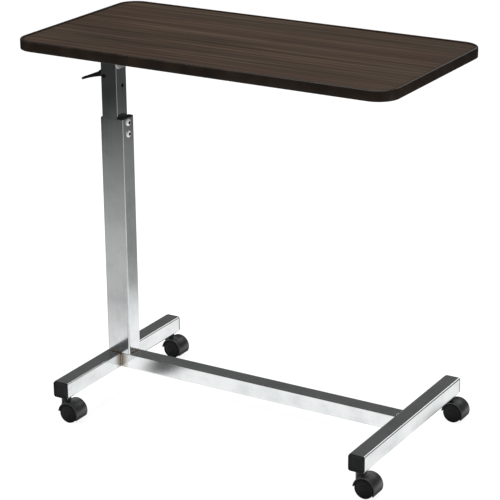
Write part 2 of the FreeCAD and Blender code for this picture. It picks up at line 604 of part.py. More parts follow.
def support_rail(side):
    """Steel angle under the tabletop, welded to the bracket's cheek."""
    upright_y = sorted((side * CHEEK_OUT, side * (CHEEK_OUT + RAIL_THICKNESS)))
    flat_y = sorted((side * CHEEK_OUT, side * (CHEEK_OUT + RAIL_LEG)))
    upright = box(RAIL_X0, RAIL_X1, *upright_y, UNDERSIDE - RAIL_LEG, UNDERSIDE)
    flat = box(RAIL_X0, RAIL_X1, *flat_y, UNDERSIDE - RAIL_THICKNESS, UNDERSIDE)
    rail = upright.fuse(flat)
    for x, y in rail_screw_places():
        if y * side > 0:
            rail = rail.cut(rod_z(RAIL_SCREW_R, x, y, UNDERSIDE - RAIL_THICKNESS, UNDERSIDE))
    return rail.removeSplitter()


def rail_screws():
    screws = []
    for x, y in rail_screw_places():
        head_top = UNDERSIDE - RAIL_THICKNESS
        shank = rod_z(RAIL_SCREW_R, x, y, head_top, BOARD_BOTTOM + RAIL_SCREW_BITE)
        head = Part.makeCone(RAIL_SCREW_HEAD_LOW_R, RAIL_SCREW_HEAD_R, RAIL_SCREW_HEAD,
                             Vector(x, y, head_top - RAIL_SCREW_HEAD), Z_AXIS)
        screws.append(shank.fuse(head))
    return Part.makeCompound(screws)


# Tabletop

def sheet(z0, z1):
    return rounded_block(BOARD_LENGTH, BOARD_WIDTH, BOARD_CORNER_RADIUS, z0, z1)


def board():
    half = KERF_HEIGHT / 2
    kerf_end = -BARB_DEPTH - KERF_CLEARANCE
    section = [(kerf_end, -half), (OVERCUT, -half), (OVERCUT, half), (kerf_end, half)]
    kerf = round_the_top(section, BOARD_LENGTH, BOARD_WIDTH, BOARD_CORNER_RADIUS)
    kerf.translate(Vector(0, 0, UNDERSIDE + BARB_MIDDLE))
    panel = sheet(BOARD_BOTTOM, LAMINATE_BOTTOM).cut(kerf)
    for x, y in rail_screw_places():
        panel = panel.cut(rod_z(RAIL_SCREW_R, x, y, BOARD_BOTTOM, BOARD_BOTTOM + RAIL_SCREW_BITE))
    return panel


def backer_sheet():
    panel = sheet(UNDERSIDE, BOARD_BOTTOM)
    for x, y in rail_screw_places():
        panel = panel.cut(rod_z(RAIL_SCREW_R, x, y, UNDERSIDE, BOARD_BOTTOM))
    return panel


def edge_moulding():
    """T-shaped plastic edging: a barb in the board's kerf and a lip above the laminate."""
    half = BARB_THICKNESS / 2
    edge = MOULDING_EDGE_RADIUS
    lip_inner = MOULDING_WIDTH / 4
    section = [(0, 0), (MOULDING_WIDTH - edge, 0), (MOULDING_WIDTH, edge),
               (MOULDING_WIDTH, TOP_STACK - edge), (MOULDING_WIDTH - edge, TOP_STACK),
               (lip_inner, TOP_STACK), (0, TOP_STACK - LIP_HEIGHT),
               (0, BARB_MIDDLE + half), (-BARB_DEPTH, BARB_MIDDLE + half),
               (-BARB_DEPTH, BARB_MIDDLE - half), (0, BARB_MIDDLE - half)]
    ring = round_the_top(section, BOARD_LENGTH, BOARD_WIDTH, BOARD_CORNER_RADIUS)
    ring.translate(Vector(0, 0, UNDERSIDE))
    return ring


# Casters, drawn with the stem on the Z axis and the wheels trailing towards +X

def caster_stem():
    bottom = CASTER_HEIGHT - NECK_GAP - STEM_EMBED
    return rod_z(STEM_R, 0, 0, bottom, CASTER_HEIGHT + SOCKET_HEIGHT - STEM_END_GAP)


def caster_axle():
    return rod_y(AXLE_R, CASTER_TRAIL, -AXLE_HALF_LENGTH, AXLE_HALF_LENGTH, WHEEL_R)


def hood_sector(radius, half_width):
    """Drum sector about the axle, over the arc that the hood covers."""
    sweep = 180 + HOOD_BELOW_REAR + HOOD_BELOW_STEM
    sector = Part.makeCylinder(radius, 2 * half_width, ORIGIN, Z_AXIS, sweep)
    sector.rotate(ORIGIN, Z_AXIS, -HOOD_BELOW_REAR)
    sector.rotate(ORIGIN, X_AXIS, 90)
    sector.translate(Vector(CASTER_TRAIL, half_width, WHEEL_R))
    return sector


def caster_hood():
    """Body of the caster: fender over both wheels, middle web, and neck round the stem."""
    inner_r = WHEEL_R + HOOD_GAP
    outer_r = inner_r + HOOD_WALL
    half_width = HALF_CASTER + HOOD_SIDE
    top = CASTER_HEIGHT - NECK_GAP
    web = CASTER_WEB / 2
    fender = hood_sector(outer_r, half_width)
    neck = rod_z(NECK_R, 0, 0, WHEEL_R, top)
    flare = Part.makeCone(NECK_R + NECK_FLARE, NECK_R, NECK_FLARE_HEIGHT,
                          Vector(0, 0, top - NECK_STRAIGHT - NECK_FLARE_HEIGHT), Z_AXIS)
    hood = fender.fuse([neck, flare])
    wheel_room = rod_y(inner_r, CASTER_TRAIL, -2 * half_width, 2 * half_width, WHEEL_R)
    middle = rod_y(inner_r, CASTER_TRAIL, -web, web, WHEEL_R).common(hood_sector(outer_r, web))
    hub = rod_y(HOOD_HUB_R, CASTER_TRAIL, -web, web, WHEEL_R)
    hood = hood.cut(wheel_room).fuse([middle, hub])
    return hood.cut(caster_stem()).cut(caster_axle()).removeSplitter()


def caster_wheel(side):
    """One wheel: closed face outwards, hollow towards the web; side is -1 at the front."""
    w = WHEEL_WIDTH
    bore = AXLE_R + AXLE_CLEARANCE
    rim_r = WHEEL_R - WHEEL_RIM
    face_in = w - WHEEL_FACE_RECESS - WHEEL_WEB
    section = [(bore, 0), (WHEEL_HUB_R, 0), (WHEEL_HUB_R, face_in), (rim_r, face_in), (rim_r, 0),
               (WHEEL_R - WHEEL_EDGE / 2, 0), (WHEEL_R, WHEEL_EDGE / 2), (WHEEL_R, w - WHEEL_EDGE),
               (WHEEL_R - WHEEL_EDGE, w), (WHEEL_FACE_R, w), (WHEEL_FACE_R, w - WHEEL_FACE_RECESS),
               (0, w - WHEEL_FACE_RECESS), (0, BORE_END - CASTER_WEB / 2 - WHEEL_SIDE_GAP),
               (bore, BORE_END - CASTER_WEB / 2 - WHEEL_SIDE_GAP)]
    face = face_of([Vector(r, side * (CASTER_WEB / 2 + WHEEL_SIDE_GAP + y), 0) for r, y in section])
    wheel = face.revolve(ORIGIN, Y_AXIS, 360)
    wheel.translate(Vector(CASTER_TRAIL, 0, WHEEL_R))
    return wheel


def placed(shape, x, y):
    copy = shape.copy()
    copy.translate(Vector(x, y, 0))
    return copy


def all_nodes():
    nodes = {
        "column_end_bar": bar_with_sockets(COLUMN_BAR_X),
        "free_end_bar": bar_with_sockets(FREE_BAR_X),
        "spine": spine(),
        "base_welds": base_welds(),
        "stem_sockets": stem_sockets(),
        "outer_column": outer_column(),
        "guide_block": guide_block(),
        "guide_pad": guide_pad(),
        "guide_screws": guide_screws(),
        "foot_stud": foot_stud(),
        "foot_nut": foot_nut(),
        "gas_spring_cylinder": gas_spring_cylinder(),
        "gas_spring_gland": gas_spring_gland(),
        "gas_spring_rod": gas_spring_rod(),
        "gas_spring_piston": gas_spring_piston(),
        "release_pin": release_pin(),
        "inner_column": inner_column(),
        "lower_glide": lower_glide(),
        "head_block": head_block(),
        "head_screw": head_screw(),
        "lever_pivot": lever_pivot(),
        "release_lever": release_lever(),
        "lever_grip": lever_grip(),
        "mast_bracket": mast_bracket(),
        "support_rail_front": support_rail(-1),
        "support_rail_back": support_rail(1),
        "rail_screws": rail_screws(),
        "board": board(),
        "laminate": sheet(LAMINATE_BOTTOM, LAMINATE_BOTTOM + LAMINATE_THICKNESS),
        "backer_sheet": backer_sheet(),
        "edge_moulding": edge_moulding(),
    }
    caster = {"stem": caster_stem(), "hood": caster_hood(), "axle": caster_axle(),
              "wheel_front": caster_wheel(-1), "wheel_back": caster_wheel(1)}
    for end, x in (("column", COLUMN_BAR_X), ("free", FREE_BAR_X)):
        for place, side in (("front", -1), ("back", 1)):
            nodes[f"end_plug_{end}_{place}"] = end_plug(x, side)
            for name, shape in caster.items():
                nodes[f"caster_{end}_{place}_{name}"] = placed(shape, x, side * STEM_Y)
    return nodes


def main():
    os.makedirs("parts", exist_ok=True)
    for name, shape in all_nodes().items():
        if not shape.isValid():
            raise ValueError(f"{name} is not a valid shape")
        shape.exportStep(f"parts/{name}.step")
        print(f"{name}: {len(shape.Solids)} solid(s), {shape.Volume:.0f} mm3")


main()
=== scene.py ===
"""Overbed table: the looks of every piece, built round the fixed frame. Metres, +Z up, "front" is -Y."""

import json
import math

import bmesh
import bpy
from mathutils import Matrix, Vector

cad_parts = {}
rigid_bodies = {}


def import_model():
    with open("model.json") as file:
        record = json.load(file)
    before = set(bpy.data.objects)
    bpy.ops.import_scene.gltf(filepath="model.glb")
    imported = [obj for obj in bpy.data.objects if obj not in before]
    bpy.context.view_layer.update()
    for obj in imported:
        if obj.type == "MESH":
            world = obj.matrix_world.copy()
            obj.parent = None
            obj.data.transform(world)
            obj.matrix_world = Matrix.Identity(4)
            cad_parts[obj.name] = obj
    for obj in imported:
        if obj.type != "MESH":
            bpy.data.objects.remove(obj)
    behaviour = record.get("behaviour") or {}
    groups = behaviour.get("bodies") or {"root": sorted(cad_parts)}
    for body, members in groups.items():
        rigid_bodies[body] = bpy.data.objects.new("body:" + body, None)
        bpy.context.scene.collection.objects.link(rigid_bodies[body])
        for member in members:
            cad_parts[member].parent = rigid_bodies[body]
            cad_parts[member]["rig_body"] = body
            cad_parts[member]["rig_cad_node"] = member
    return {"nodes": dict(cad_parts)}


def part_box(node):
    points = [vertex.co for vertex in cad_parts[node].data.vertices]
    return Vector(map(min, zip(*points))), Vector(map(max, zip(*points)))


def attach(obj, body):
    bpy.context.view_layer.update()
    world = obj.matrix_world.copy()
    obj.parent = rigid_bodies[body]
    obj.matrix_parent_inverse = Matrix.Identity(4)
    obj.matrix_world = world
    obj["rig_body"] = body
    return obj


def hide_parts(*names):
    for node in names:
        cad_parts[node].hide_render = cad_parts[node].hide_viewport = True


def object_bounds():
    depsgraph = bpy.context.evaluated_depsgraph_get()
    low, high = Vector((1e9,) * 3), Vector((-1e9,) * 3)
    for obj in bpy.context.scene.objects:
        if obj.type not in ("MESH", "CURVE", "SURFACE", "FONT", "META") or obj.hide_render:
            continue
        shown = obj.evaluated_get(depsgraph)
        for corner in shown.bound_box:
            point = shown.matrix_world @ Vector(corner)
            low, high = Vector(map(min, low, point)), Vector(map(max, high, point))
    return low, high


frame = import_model()
CAD_LOW, CAD_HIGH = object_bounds()
NODES = frame["nodes"]
MM = 0.001
NEARLY_ZERO = 0.01 * MM


# Shader arithmetic

class Value:
    """A socket of a finish's tree, with the arithmetic that the finishes are written in."""

    def __init__(self, finish, socket):
        self.finish = finish
        self.socket = socket

    def _sum(self, operation, *others):
        sockets = dict(enumerate((self, *others)))
        return self.finish.node("ShaderNodeMath", {"operation": operation}, sockets)

    def _reflected(self, operation, other):
        return self.finish.node("ShaderNodeMath", {"operation": operation}, {0: other, 1: self})

    def __add__(self, other):
        return self._sum("ADD", other)

    __radd__ = __add__

    def __sub__(self, other):
        return self._sum("SUBTRACT", other)

    def __rsub__(self, other):
        return self._reflected("SUBTRACT", other)

    def __mul__(self, other):
        return self._sum("MULTIPLY", other)

    __rmul__ = __mul__

    def __truediv__(self, other):
        return self._sum("DIVIDE", other)

    def __pow__(self, other):
        return self._sum("POWER", other)

    def __abs__(self):
        return self._sum("ABSOLUTE")

    def at_least(self, other):
        return self._sum("MAXIMUM", other)


class Finish:
    """A material under construction. Numbers that are the same all over go straight on its shader."""

    def __init__(self, name, shader="ShaderNodeBsdfPrincipled", **fixed):
        self.material = bpy.data.materials.new(name)
        self.material.use_nodes = True
        self.tree = self.material.node_tree
        self.tree.nodes.clear()
        self.shader = self.tree.nodes.new(shader)
        end = self.tree.nodes.new("ShaderNodeOutputMaterial")
        self.tree.links.new(self.shader.outputs[0], end.inputs["Surface"])
        for socket, value in fixed.items():
            self.shader.inputs[socket.replace("_", " ")].default_value = value

    def feed(self, socket, value):
        if isinstance(value, Value):
            self.tree.links.new(value.socket, socket)
        else:
            socket.default_value = value

    def node(self, kind, settings=None, sockets=None, out=0):
        """Adds any node: its settings first, then what its sockets hold, and returns one output."""
        made = self.tree.nodes.new(kind)
        for name, value in (settings or {}).items():
            if name == "stops":
                ramp = made.color_ramp.elements
                while len(ramp) < len(value):
                    ramp.new(1.0)
                for element, (place, colour) in zip(ramp, value):
                    element.position = place
                    element.color = (*colour, 1.0)
            else:
                setattr(made, name, value)
        for name, value in (sockets or {}).items():
            self.feed(made.inputs[name], value)
        return Value(self, made.outputs[out])

    def place(self, scale=(1, 1, 1)):
        """Object coordinates in metres, stretched by scale."""
        spot = self.node("ShaderNodeTexCoord", out="Object")
        return self.node("ShaderNodeMapping", sockets={"Vector": spot, "Scale": scale})

    def axis(self, letter):
        """One of the object coordinates, in metres."""
        spot = self.node("ShaderNodeTexCoord", out="Object")
        return self.node("ShaderNodeSeparateXYZ", sockets={0: spot}, out=letter)

    def noise(self, scale, stretch=(1, 1, 1), detail=3.0, roughness=0.5, distortion=0.0):
        return self.node("ShaderNodeTexNoise", sockets={
            "Vector": self.place(stretch), "Scale": scale, "Detail": detail,
            "Roughness": roughness, "Distortion": distortion})

    def ramp(self, factor, *stops):
        return self.node("ShaderNodeValToRGB", {"stops": stops}, {"Fac": factor})

    def mix(self, factor, first, second, way="MIX"):
        return self.node("ShaderNodeMix", {"data_type": "RGBA", "blend_type": way},
                         {0: factor, 6: first, 7: second}, out=2)

    def set(self, **values):
        for socket, value in values.items():
            self.feed(self.shader.inputs[socket.replace("_", " ")], value)

    def bump(self, height, distance, strength=1.0):
        self.set(Normal=self.node("ShaderNodeBump", sockets={
            "Height": height, "Distance": distance, "Strength": strength}))


def grey(level):
    return (level, level, level)


def rgba(red, green, blue):
    return (red, green, blue, 1.0)


# Finishes

def chromed_tube(name, along, tone=1.0, heat=False):
    """Bright plate with the fine brushing and faint cloudiness that runs along a drawn tube."""
    f = Finish(name, Metallic=1.0)
    stretch = [700.0, 700.0, 700.0]
    stretch["XYZ".index(along)] = 5.0
    brushing = f.noise(1.0, stretch, detail=4.0, roughness=0.6)
    clouds = f.noise(22.0, detail=5.0, roughness=0.6)
    plate = f.ramp(brushing * 0.30 + clouds * 0.70,
                   (0.34, (0.66 * tone, 0.69 * tone, 0.69 * tone)),
                   (0.52, (0.79 * tone, 0.81 * tone, 0.81 * tone)),
                   (0.68, (0.84 * tone, 0.85 * tone, 0.86 * tone)))
    if heat:
        burnt = weld_heat(f)
        f.set(Base_Color=f.mix(burnt * 0.85, plate, rgba(0.34, 0.28, 0.21)))
        f.set(Roughness=0.07 + brushing * 0.08 + clouds * 0.05 + burnt * 0.18)
    else:
        f.set(Base_Color=plate)
        f.set(Roughness=0.07 + brushing * 0.08 + clouds * 0.05)
    f.bump(brushing, 0.02 * MM, 0.15)
    return f.material


def weld_heat(f):
    """1 at the upright seams between the spine and the column's cross bar, fading to 0 beside them."""
    reach = 17.0 * MM
    along = f.axis("X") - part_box("column_end_bar")[1].x
    across = abs(f.axis("Y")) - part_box("spine")[1].y
    away = (along * along + across * across) ** 0.5
    return (1.0 - away / reach).at_least(0.0) ** 0.7


def plated_steel(name, low, high, rough):
    """Plated or polished steel: a cool grey with small uneven patches."""
    f = Finish(name, Metallic=1.0)
    patches = f.noise(140.0, detail=3.0)
    fine = f.noise(1600.0, detail=2.0)
    f.set(Base_Color=f.ramp(patches, (0.30, low), (0.70, high)))
    f.set(Roughness=rough + patches * 0.10 + fine * 0.06)
    f.bump(fine, 0.02 * MM, 0.4)
    return f.material


def guide_screw_zinc():
    """White zinc on the heads; the sockets are painted dark as shade inside them, a little less dark at
    the very centre.
    """
    f = Finish("guide_screw_zinc", Metallic=0.1)
    low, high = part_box("guide_screws")
    head_r = (high.y - low.y) / 2
    up = abs(f.axis("Z") - (low.z + high.z) / 2) - ((high.z - low.z) / 2 - head_r)
    side = f.axis("Y")
    patches = f.noise(140.0, detail=3.0)
    from_axis = (up * up + side * side) ** 0.5 / head_r
    # Painted shade: everything inside the socket radius is coloured dark, the centre a little less dark;
    # the head round it is white zinc.
    f.set(Base_Color=f.ramp(from_axis, (0.0, grey(0.10)), (0.30, grey(0.03)), (0.46, grey(0.02)),
                            (0.54, grey(0.90)), (0.95, grey(0.80))))
    f.set(Roughness=0.42 + patches * 0.1)
    f.bump(patches, 0.02 * MM, 0.4)
    return f.material


def weld_metal():
    f = Finish("weld_bead", Metallic=1.0)
    heat = f.noise(220.0, detail=4.0)
    f.set(Base_Color=f.ramp(heat, (0.30, (0.20, 0.15, 0.11)), (0.55, (0.40, 0.34, 0.28)),
                            (0.75, (0.60, 0.58, 0.56))))
    f.set(Roughness=0.28 + heat * 0.30)
    f.bump(f.noise(1200.0), 0.05 * MM, 0.6)
    return f.material


def blackened_steel():
    """Black oxide, oiled, with bare steel just showing through."""
    f = Finish("blackened_steel", Metallic=1.0)
    rubbed = f.noise(300.0, detail=3.0)
    f.set(Base_Color=f.ramp(rubbed, (0.4, grey(0.025)), (0.75, grey(0.07))))
    f.set(Roughness=0.35 + rubbed * 0.15)
    f.bump(rubbed, 0.02 * MM, 0.4)
    return f.material


def black_plastic(name, level, rough, shine=0.2, grain=1500.0, depth=0.03):
    """Moulded plastic: black with a fine leathery grain and rubbed, slightly paler patches."""
    f = Finish(name, Specular_IOR_Level=shine)
    wear = f.noise(60.0, detail=4.0)
    skin = f.node("ShaderNodeTexVoronoi", {"feature": "SMOOTH_F1"},
                  {"Vector": f.place(), "Scale": grain})
    f.set(Base_Color=f.ramp(wear, (0.35, grey(level)), (0.75, (level * 1.5, level * 1.6, level * 1.6))))
    f.set(Roughness=rough + wear * 0.12)
    f.bump(skin, depth * MM, 0.5)
    return f.material


def painted_cylinder():
    f = Finish("painted_cylinder", Coat_Roughness=0.2)
    orange_peel = f.noise(700.0, detail=1.0)
    f.set(Base_Color=f.ramp(f.noise(40.0), (0.3, grey(0.022)), (0.7, grey(0.034))))
    f.set(Roughness=0.32 + orange_peel * 0.08, Coat_Weight=0.4 + orange_peel * 0.1)
    f.bump(orange_peel, 0.03 * MM, 0.4)
    return f.material


def walnut_laminate():
    """Printed walnut: long streaks along X, a few flat-sawn figures, fine pores and a satin skin."""
    f = Finish("walnut_laminate", Specular_IOR_Level=0.09)
    rings = f.node("ShaderNodeTexWave", {"bands_direction": "Y", "wave_profile": "SIN"}, {
        "Vector": f.place((1.5, 19.0, 1.0)), "Scale": 1.0, "Distortion": 9.0, "Detail": 3.0,
        "Detail Scale": 0.7, "Detail Roughness": 0.6})
    streaks = f.noise(1.0, (1.6, 60.0, 1.0), detail=5.0, roughness=0.65, distortion=0.5)
    pores = f.noise(1.0, (40.0, 1300.0, 1.0), detail=2.0)
    drift = f.noise(1.0, (2.0, 7.0, 1.0), detail=3.0)
    figure = rings * 0.22 + streaks * 1.30 + pores * 0.30 + drift * 0.48
    wood = f.ramp(figure / 2.3, (0.38, (0.012, 0.0075, 0.005)), (0.46, (0.029, 0.0190, 0.0125)),
                  (0.53, (0.047, 0.031, 0.021)), (0.61, (0.083, 0.058, 0.040)))
    warm = f.noise(1.0, (1.7, 17.0, 1.0), detail=2.0) ** 2.0
    reddish = f.mix(warm, wood, rgba(0.066, 0.036, 0.026))
    dull = f.noise(1.0, (2.6, 11.0, 1.0), detail=2.0) ** 2.0 * 0.8
    f.set(Base_Color=f.mix(dull, reddish, rgba(0.036, 0.031, 0.021)))
    f.set(Roughness=0.34 + streaks * 0.12)
    f.bump(pores * 0.7 + streaks * 0.3, 0.03 * MM, 0.5)
    return f.material


def backer_laminate():
    f = Finish("backer_laminate", Specular_IOR_Level=0.4)
    paper = f.noise(500.0, detail=3.0)
    f.set(Base_Color=f.ramp(paper, (0.3, (0.040, 0.032, 0.027)), (0.7, (0.060, 0.050, 0.043))))
    f.set(Roughness=0.55 + paper * 0.12)
    f.bump(paper, 0.03 * MM, 0.4)
    return f.material


def brown_moulding():
    """Vinyl edging: near-black brown with the faint drag lines of an extrusion."""
    f = Finish("brown_moulding", Specular_IOR_Level=0.35)
    mottle = f.noise(30.0, detail=4.0)
    drag = f.noise(1.0, (8.0, 8.0, 2500.0), detail=2.0)
    f.set(Base_Color=f.ramp(mottle, (0.3, (0.009, 0.006, 0.004)), (0.7, (0.019, 0.012, 0.008))))
    f.set(Roughness=0.26 + mottle * 0.08 + drag * 0.08)
    f.bump(drag, 0.02 * MM, 0.4)
    return f.material


def particle_board():
    f = Finish("particle_board", Roughness=0.85)
    chips = f.node("ShaderNodeTexVoronoi", out="Color",
                   sockets={"Vector": f.place((1.0, 1.0, 2.5)), "Scale": 420.0})
    dust = f.noise(900.0)
    wood = f.ramp(chips, (0.2, (0.30, 0.21, 0.12)), (0.8, (0.62, 0.48, 0.31)))
    f.set(Base_Color=f.mix(0.35 + dust * 0.3, wood, rgba(0.48, 0.36, 0.23)))
    f.bump(dust, 0.1 * MM, 0.7)
    return f.material


# Making a piece by hand

def fresh(name):
    """Names the primitive just added, and puts its place and size into its mesh."""
    piece = bpy.context.object
    piece.name = name
    piece.data.name = name
    bpy.ops.object.transform_apply(location=True, rotation=True, scale=True)
    return piece


def clear():
    bpy.ops.object.select_all(action="DESELECT")


def block(name, low, high):
    clear()
    middle = [(a + b) / 2 for a, b in zip(low, high)]
    size = [b - a for a, b in zip(low, high)]
    bpy.ops.mesh.primitive_cube_add(size=1.0, location=middle, scale=size)
    return fresh(name)


def drum(name, radius, start, length, along, sides=64):
    """Cylinder from start, reaching length along X, Y or Z."""
    clear()
    turn = {"X": (0, math.pi / 2, 0), "Y": (-math.pi / 2, 0, 0), "Z": (0, 0, 0)}[along]
    middle = Vector(start)
    middle["XYZ".index(along)] += length / 2
    bpy.ops.mesh.primitive_cylinder_add(vertices=sides, radius=radius, depth=length,
                                        location=middle, rotation=turn)
    return fresh(name)


def only(piece):
    clear()
    piece.select_set(True)
    bpy.context.view_layer.objects.active = piece


def edit(piece):
    """Opens the piece in edit mode with everything selected."""
    only(piece)
    bpy.ops.object.mode_set(mode="EDIT")
    bpy.ops.mesh.select_mode(type="VERT")
    bpy.ops.mesh.select_all(action="SELECT")


def done():
    bpy.ops.object.mode_set(mode="OBJECT")


def pick(kind, test):
    """In edit mode, selects just the vertices, edges or faces that pass the test."""
    bpy.ops.mesh.select_mode(type=kind)
    bpy.ops.mesh.select_all(action="DESELECT")
    mesh = bmesh.from_edit_mesh(bpy.context.object.data)
    for part in {"VERT": mesh.verts, "EDGE": mesh.edges, "FACE": mesh.faces}[kind]:
        part.select_set(bool(test(part)))
    bmesh.update_edit_mesh(bpy.context.object.data)


def middle_of(part):
    return sum((v.co for v in part.verts), Vector()) / len(part.verts)


def runs_along(edge, axis):
    line = edge.verts[1].co - edge.verts[0].co
    return abs(line.normalized()["XYZ".index(axis)]) > 0.999


def facing(face, direction):
    return face.normal.dot(Vector(direction)) > 0.99


def tidy_shell():
    """In edit mode: closes seams and turns every face outwards."""
    bpy.ops.mesh.select_all(action="SELECT")
    bpy.ops.mesh.remove_doubles(threshold=0.001 * MM)
    bpy.ops.mesh.normals_make_consistent(inside=False)


def apply_all(piece):
    only(piece)
    for modifier in list(piece.modifiers):
        bpy.ops.object.modifier_apply(modifier=modifier.name)


def rounded(piece, width, segments=3, angle=30):
    """Rounds the piece's sharp edges."""
    bevel = piece.modifiers.new("edge rounding", "BEVEL")
    bevel.width = width
    bevel.segments = segments
    bevel.limit_method = "ANGLE"
    bevel.angle_limit = math.radians(angle)
    bevel.use_clamp_overlap = True
    apply_all(piece)
    return piece


def smooth(piece, angle=35):
    only(piece)
    bpy.ops.object.shade_smooth_by_angle(angle=math.radians(angle))
    return piece


def combine(piece, other, way="UNION"):
    """Adds the other solid to the piece, or takes it away."""
    cut = piece.modifiers.new("combine", "BOOLEAN")
    cut.operation = way
    cut.solver = "EXACT"
    cut.object = other
    apply_all(piece)
    bpy.data.objects.remove(other)
    return piece


def joined(pieces, name):
    """Puts the pieces into one mesh."""
    clear()
    for piece in pieces:
        piece.select_set(True)
    bpy.context.view_layer.objects.active = pieces[0]
    bpy.ops.object.join()
    whole = bpy.context.object
    whole.name = whole.data.name = name
    return whole


def turned(name, outline, centre, axis, steps=72, sweep=2 * math.pi):
    """Solid turned about an axis through centre. The outline's points are (radius, distance along)."""
    along = Vector([1.0 if letter == axis else 0.0 for letter in "XYZ"])
    outward = Vector((0, 0, 1)) if axis != "Z" else Vector((1, 0, 0))
    clear()
    bpy.ops.mesh.primitive_circle_add(vertices=len(outline), radius=1.0, fill_type="NOTHING")
    piece = fresh(name)
    for vertex, (radius, distance) in zip(piece.data.vertices, outline):
        vertex.co = Vector(centre) + outward * radius + along * distance
    edit(piece)
    if sweep < 2 * math.pi:
        bpy.ops.mesh.edge_face_add()
    bpy.ops.mesh.spin(steps=steps, angle=sweep, center=centre, axis=along)
    tidy_shell()
    done()
    return piece


def softened(node, width, segments):
    """The CAD shape with its edges rounded, as a new piece."""
    clear()
    piece = NODES[node].copy()
    piece.data = NODES[node].data.copy()
    piece.parent = None
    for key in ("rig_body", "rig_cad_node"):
        del piece[key]
    bpy.context.collection.objects.link(piece)
    piece.name = piece.data.name = node + "_looks"
    if piece.data.has_custom_normals:
        only(piece)
        bpy.ops.mesh.customdata_custom_splitnormals_clear()
    edit(piece)
    bpy.ops.mesh.remove_doubles(threshold=0.005 * MM)
    bpy.ops.mesh.dissolve_limited(angle_limit=math.radians(1.0))
    done()
    rounded(piece, width, segments)
    return smooth(piece)


def finished(piece, node, body, material):
    """Gives a new piece its finish and its body, in place of a CAD node."""
    piece.data.materials.clear()
    piece.data.materials.append(material)
    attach(piece, body)
    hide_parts(node)
    return piece


def lever_grip(material):
    """The tapered grip, with the wedge over its root."""
    grip = softened("lever_grip", 1.1 * MM, 4)
    low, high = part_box("lever_grip")
    length = 15.0 * MM
    rise = 4.0 * MM
    depth = 5.0 * MM
    thin_end = 1.5 * MM
    narrower = 1.3 * MM
    wedge = block("wedge", (high.x - length, low.y + narrower, high.z - depth),
                  (high.x - 0.6 * MM, high.y - narrower, high.z + rise))
    for vertex in wedge.data.vertices:
        if vertex.co.x < high.x - length / 2:
            vertex.co.z = high.z - depth if vertex.co.z > high.z else high.z - depth - thin_end
    combine(grip, rounded(wedge, 0.8 * MM))
    return finished(smooth(grip), "lever_grip", "lever", material)


def body_of(node):
    return NODES[node]["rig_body"]


# Camera and stage

AZIMUTH = 30.8
ELEVATION = 19.9
TILT = -0.47
DISTANCE = 3.5
AIM = Vector((0.034, -0.050, 0.361))
LENS = 138.0


def camera():
    data = bpy.data.cameras.new("camera")
    data.lens = LENS
    data.sensor_width = 36.0
    data.clip_end = 100.0
    eye = bpy.data.objects.new("camera", data)
    bpy.context.scene.collection.objects.link(eye)
    turn = (Matrix.Rotation(math.radians(AZIMUTH), 4, "Z")
            @ Matrix.Rotation(math.radians(90 - ELEVATION), 4, "X")
            @ Matrix.Rotation(math.radians(TILT), 4, "Z"))
    eye.matrix_world = Matrix.Translation(AIM) @ turn @ Matrix.Translation((0, 0, DISTANCE))
    bpy.context.scene.camera = eye


def stage_plane(name, height, material):
    clear()
    bpy.ops.mesh.primitive_plane_add(size=40.0, location=(0, 0, height))
    plane = fresh(name)
    plane.data.materials.append(material)
    return plane


def contact_shade(f, x, y):
    """1 where the floor is clear, less under each caster and a little less under the spine."""
    near = sum(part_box("caster_column_front_axle"), Vector()) / 2
    far = sum(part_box("caster_free_back_axle"), Vector()) / 2
    reach = 80.0 * MM
    falls_beyond = 9.0 * MM
    flattening = 0.55
    along = abs(abs(x - (near.x + far.x) / 2 - falls_beyond) - (far.x - near.x) / 2)
    across = abs(abs(y) - far.y) * flattening
    casters = f.ramp((along * along + across * across) ** 0.5 / reach,
                     (0.28, grey(0.15)), (0.46, grey(0.46)), (0.62, grey(0.88)), (0.80, grey(1.0)))
    spine = f.ramp(abs(y) / reach, (0.15, grey(0.88)), (0.60, grey(0.96)), (1.0, grey(1.0)))
    return f.mix(1.0, casters, spine, "MULTIPLY")


